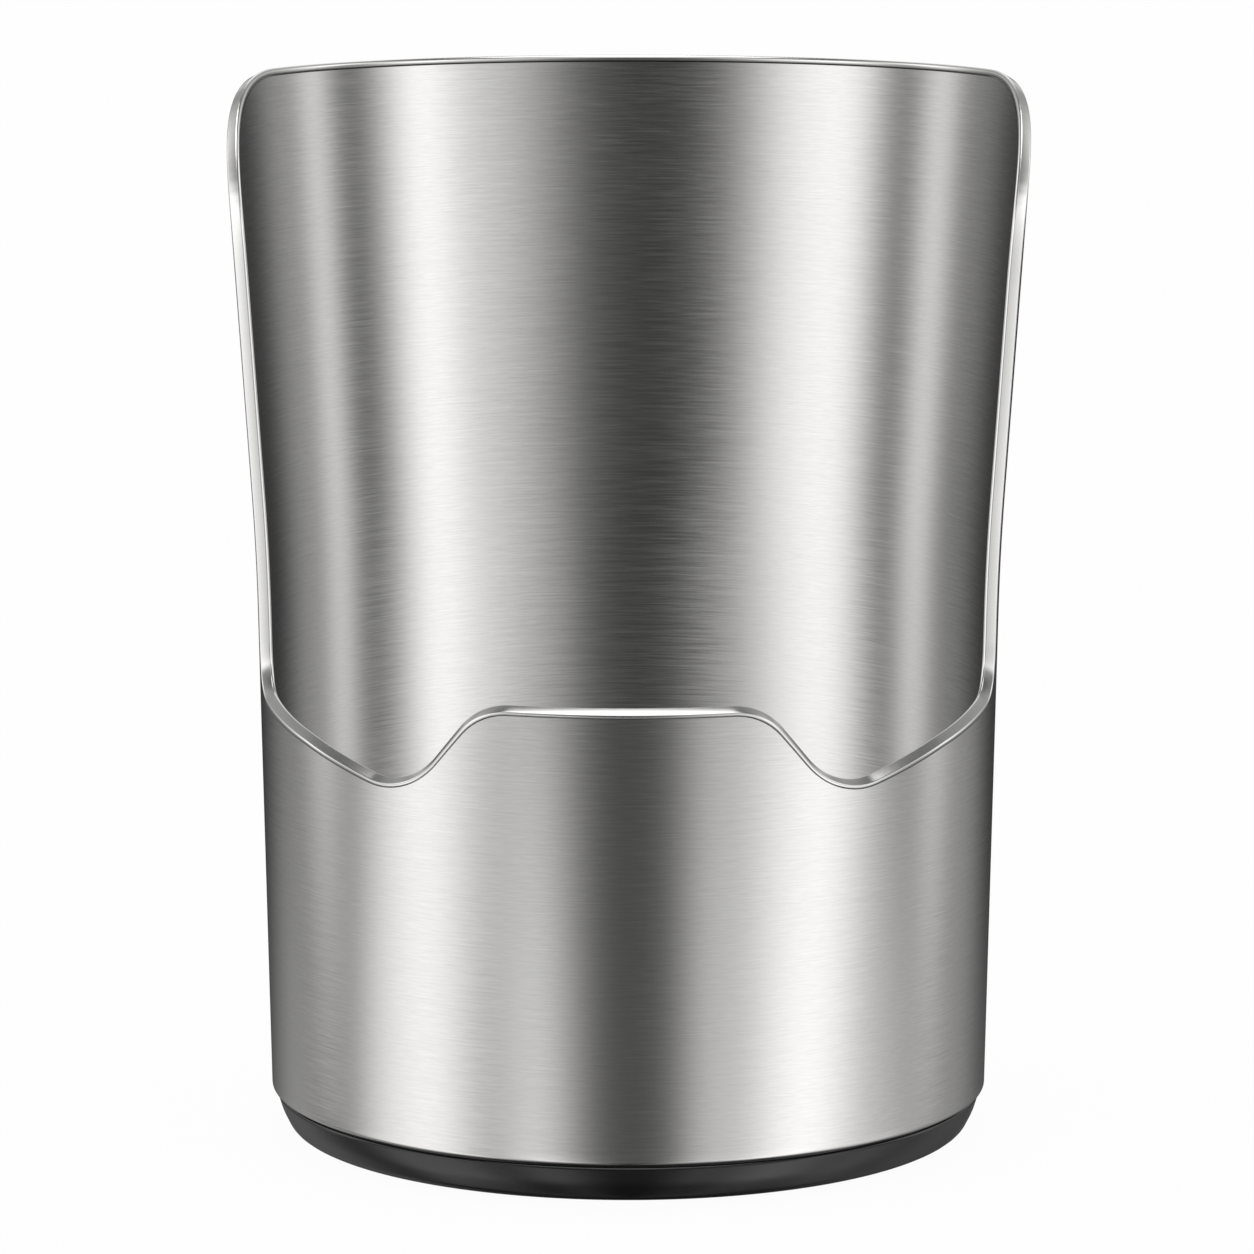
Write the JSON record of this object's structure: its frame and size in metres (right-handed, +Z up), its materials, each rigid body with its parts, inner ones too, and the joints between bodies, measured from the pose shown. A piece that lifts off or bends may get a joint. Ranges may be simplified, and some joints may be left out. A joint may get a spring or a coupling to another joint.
{
  "type": "utensil holder",
  "caption": "Tall tapered brushed steel utensil holder with a cut-away front, a polished rim and a low black base on soft pads.",
  "frame": {"origin": "middle of the object's box, on the surface that it stands on", "axes": "+Z up; the low front of the opening faces -Y and the high back wall is at +Y; +X is to the right seen from the front"},
  "size_m": [0.1362, 0.1319, 0.1808],
  "materials": {
    "shell_steel": "brushed round the body",
    "liner_steel": "brushed round the body",
    "rim_steel": "polished steel",
    "pan_steel": "plain pressed steel",
    "base_plastic": "gloss black",
    "pad_rubber": "matte",
    "screw_steel": "zinc plated",
    "nut_steel": "plain steel"
  },
  "bodies": {
    "root": {"outer_shell": "shell_steel", "inner_liner": "liner_steel", "rim_bead": "rim_steel", "mounting_pan": "pan_steel", "base_moulding": "base_plastic", "foot_pad_1": "pad_rubber", "foot_pad_2": "pad_rubber", "foot_pad_3": "pad_rubber", "foot_pad_4": "pad_rubber", "base_screw_1": "screw_steel", "base_screw_2": "screw_steel", "base_screw_3": "screw_steel", "base_screw_4": "screw_steel", "weld_nut_1": "nut_steel", "weld_nut_2": "nut_steel", "weld_nut_3": "nut_steel", "weld_nut_4": "nut_steel"}
  },
  "joints": []
}
